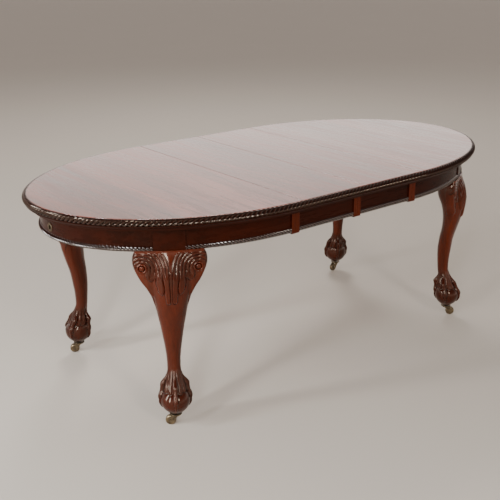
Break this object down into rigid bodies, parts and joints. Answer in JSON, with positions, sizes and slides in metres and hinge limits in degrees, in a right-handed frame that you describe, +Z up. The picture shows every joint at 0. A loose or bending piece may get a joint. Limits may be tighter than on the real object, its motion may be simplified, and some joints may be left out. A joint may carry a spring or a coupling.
{
  "type": "extendable dining table",
  "caption": "Oval wind-out dining table with half-oval ends on four carved cabriole legs, loose middle leaves, telescoping slides, a crank screw and brass casters.",
  "frame": {"origin": "on the floor, under the middle of the open table", "axes": "+X along the table's length, away from the crank end; +Y across it, towards the back; +Z up"},
  "size_m": [2.0058, 1.04, 0.75],
  "materials": {
    "polished_top": "french polished, high gloss",
    "mahogany": "french polished",
    "carved_mahogany": "french polished, darker in the hollows",
    "inner_frame_wood": "unpolished, oiled",
    "aged_brass": "aged, dull",
    "screw_steel": "oiled steel"
  },
  "bodies": {
    "left_end": {"top_left": "polished_top", "edge_moulding_left": "carved_mahogany", "end_rail_left": "mahogany", "side_rail_front_left": "mahogany", "side_rail_back_left": "mahogany", "rope_mouldings_left": "carved_mahogany", "leg_front_left": "carved_mahogany", "leg_back_left": "carved_mahogany", "knee_brackets_left": "carved_mahogany", "corner_braces_left": "inner_frame_wood", "cross_rails_left": "inner_frame_wood", "slide_front_left": "inner_frame_wood", "slide_back_left": "inner_frame_wood", "screw_bearing": "inner_frame_wood", "crank_escutcheon": "aged_brass", "caster_plate_front_left": "aged_brass", "caster_plate_back_left": "aged_brass"},
    "right_end": {"top_right": "polished_top", "edge_moulding_right": "carved_mahogany", "end_rail_right": "mahogany", "side_rail_front_right": "mahogany", "side_rail_back_right": "mahogany", "rope_mouldings_right": "carved_mahogany", "leg_front_right": "carved_mahogany", "leg_back_right": "carved_mahogany", "knee_brackets_right": "carved_mahogany", "corner_braces_right": "inner_frame_wood", "cross_rails_right": "inner_frame_wood", "slide_front_right": "inner_frame_wood", "slide_back_right": "inner_frame_wood", "screw_nut": "aged_brass", "screw_tube": "screw_steel", "tube_bracket": "inner_frame_wood", "caster_plate_front_right": "aged_brass", "caster_plate_back_right": "aged_brass"},
    "drive_screw": {"drive_screw": "screw_steel"},
    "leaf_left": {"leaf_board_left": "polished_top", "leaf_edge_mouldings_left": "carved_mahogany", "leaf_apron_front_left": "mahogany", "leaf_apron_back_left": "mahogany", "leaf_rope_mouldings_left": "carved_mahogany", "leaf_battens_left": "inner_frame_wood"},
    "leaf_right": {"leaf_board_right": "polished_top", "leaf_edge_mouldings_right": "carved_mahogany", "leaf_apron_front_right": "mahogany", "leaf_apron_back_right": "mahogany", "leaf_rope_mouldings_right": "carved_mahogany", "leaf_battens_right": "inner_frame_wood"},
    "caster_front_left": {"caster_horn_front_left": "aged_brass", "caster_axle_front_left": "aged_brass"},
    "wheel_front_left": {"caster_wheel_front_left": "aged_brass"},
    "caster_front_right": {"caster_horn_front_right": "aged_brass", "caster_axle_front_right": "aged_brass"},
    "wheel_front_right": {"caster_wheel_front_right": "aged_brass"},
    "caster_back_left": {"caster_horn_back_left": "aged_brass", "caster_axle_back_left": "aged_brass"},
    "wheel_back_left": {"caster_wheel_back_left": "aged_brass"},
    "caster_back_right": {"caster_horn_back_right": "aged_brass", "caster_axle_back_right": "aged_brass"},
    "wheel_back_right": {"caster_wheel_back_right": "aged_brass"}
  },
  "joints": [
    {"name": "right_end_slide", "type": "slide", "parent": "left_end", "child": "right_end", "axis": [1, 0, 0], "range_m": [0, 0.12]},
    {"name": "drive_screw_turn", "type": "hinge", "parent": "left_end", "child": "drive_screw", "pos_m": [-0.8255, 0, 0.667], "axis": [1, 0, 0], "range_deg": [0, 3600]},
    {"name": "leaf_left_lift", "type": "slide", "parent": "left_end", "child": "leaf_left", "axis": [0, 0, 1], "range_m": [0, 0.2]},
    {"name": "leaf_right_lift", "type": "slide", "parent": "right_end", "child": "leaf_right", "axis": [0, 0, 1], "range_m": [0, 0.2]},
    {"name": "caster_swivel_front_left", "type": "hinge", "parent": "left_end", "child": "caster_front_left", "pos_m": [-0.71214, -0.34751, 0.04], "axis": [0, 0, 1], "continuous": true},
    {"name": "wheel_roll_front_left", "type": "hinge", "parent": "caster_front_left", "child": "wheel_front_left", "pos_m": [-0.72613, -0.33618, 0.018], "axis": [-0.6293, -0.7771, 0], "continuous": true},
    {"name": "caster_swivel_front_right", "type": "hinge", "parent": "right_end", "child": "caster_front_right", "pos_m": [0.71214, -0.34751, 0.04], "axis": [0, 0, 1], "continuous": true},
    {"name": "wheel_roll_front_right", "type": "hinge", "parent": "caster_front_right", "child": "wheel_front_right", "pos_m": [0.72633, -0.35859, 0.018], "axis": [0.6157, 0.788, 0], "continuous": true},
    {"name": "caster_swivel_back_left", "type": "hinge", "parent": "left_end", "child": "caster_back_left", "pos_m": [-0.71214, 0.34751, 0.04], "axis": [0, 0, 1], "continuous": true},
    {"name": "wheel_roll_back_left", "type": "hinge", "parent": "caster_back_left", "child": "wheel_back_left", "pos_m": [-0.72803, 0.35596, 0.018], "axis": [-0.4695, -0.8829, 0], "continuous": true},
    {"name": "caster_swivel_back_right", "type": "hinge", "parent": "right_end", "child": "caster_back_right", "pos_m": [0.71214, 0.34751, 0.04], "axis": [0, 0, 1], "continuous": true},
    {"name": "wheel_roll_back_right", "type": "hinge", "parent": "caster_back_right", "child": "wheel_back_right", "pos_m": [0.69428, 0.34531, 0.018], "axis": [0.1219, -0.9925, 0], "continuous": true}
  ],
  "couplings": [
    {"joint": "drive_screw_turn", "follows": "right_end_slide", "rad_per_m": 523.59}
  ]
}
